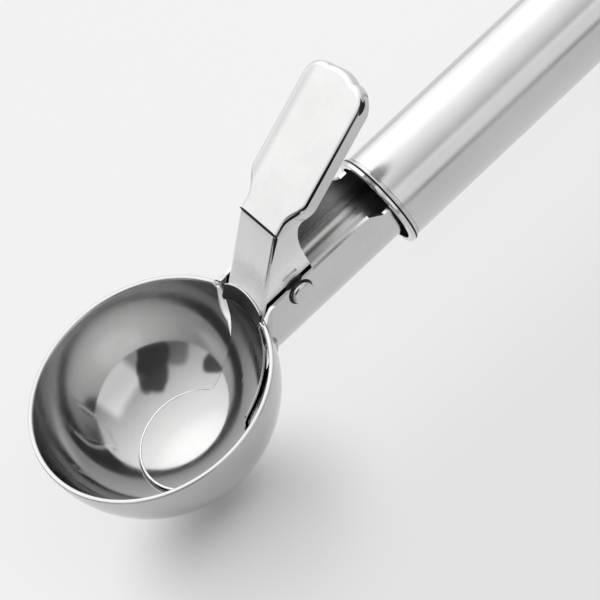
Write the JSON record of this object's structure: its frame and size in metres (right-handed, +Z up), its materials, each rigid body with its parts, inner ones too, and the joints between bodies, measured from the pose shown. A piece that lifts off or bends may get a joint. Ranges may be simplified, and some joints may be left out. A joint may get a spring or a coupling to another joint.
{
  "type": "lever ice cream scoop",
  "caption": "Steel ice cream scoop with a round bowl on a tubular handle, and a sprung thumb lever whose blade sweeps the bowl to push the ball out.",
  "frame": {"origin": "centre of the bowl's rim circle, in the plane of the rim", "axes": "+X from the bowl along the handle, +Y across the scoop along the pivot pin, +Z up out of the bowl's mouth"},
  "size_m": [0.2046, 0.052, 0.0553],
  "materials": {
    "bowl_steel": "polished stainless steel, mirror inside",
    "channel_steel": "satin polished stainless steel sheet",
    "weld_steel": "dressed weld, satin",
    "tube_steel": "polished stainless steel tube with fine lengthwise lines",
    "collar_steel": "polished stainless steel",
    "plug_steel": "plain turned steel",
    "cap_steel": "polished stainless steel",
    "pin_steel": "polished stainless steel rivet",
    "washer_steel": "plain steel washer",
    "bush_steel": "plain steel bush",
    "lever_steel": "polished stainless steel sheet",
    "ejector_steel": "polished stainless steel sheet",
    "spring_steel": "drawn spring wire"
  },
  "bodies": {
    "handle": {"bowl": "bowl_steel", "neck_channel": "channel_steel", "neck_weld": "weld_steel", "handle_tube": "tube_steel", "front_collar": "collar_steel", "tail_plug": "plug_steel", "end_cap": "cap_steel", "pivot_pin": "pin_steel", "pivot_washers": "washer_steel", "spring_bush": "bush_steel", "return_spring": "spring_steel"},
    "lever": {"thumb_lever": "lever_steel", "ejector_plate": "ejector_steel"}
  },
  "joints": [
    {"name": "lever_pivot", "type": "hinge", "parent": "handle", "child": "lever", "pos_m": [0.0342, 0, -0.0013], "axis": [0, 1, 0], "range_deg": [0, 34], "stiffness_Nm_per_rad": 0.25, "springref_deg": -34.38, "deforming": ["return_spring"]}
  ]
}
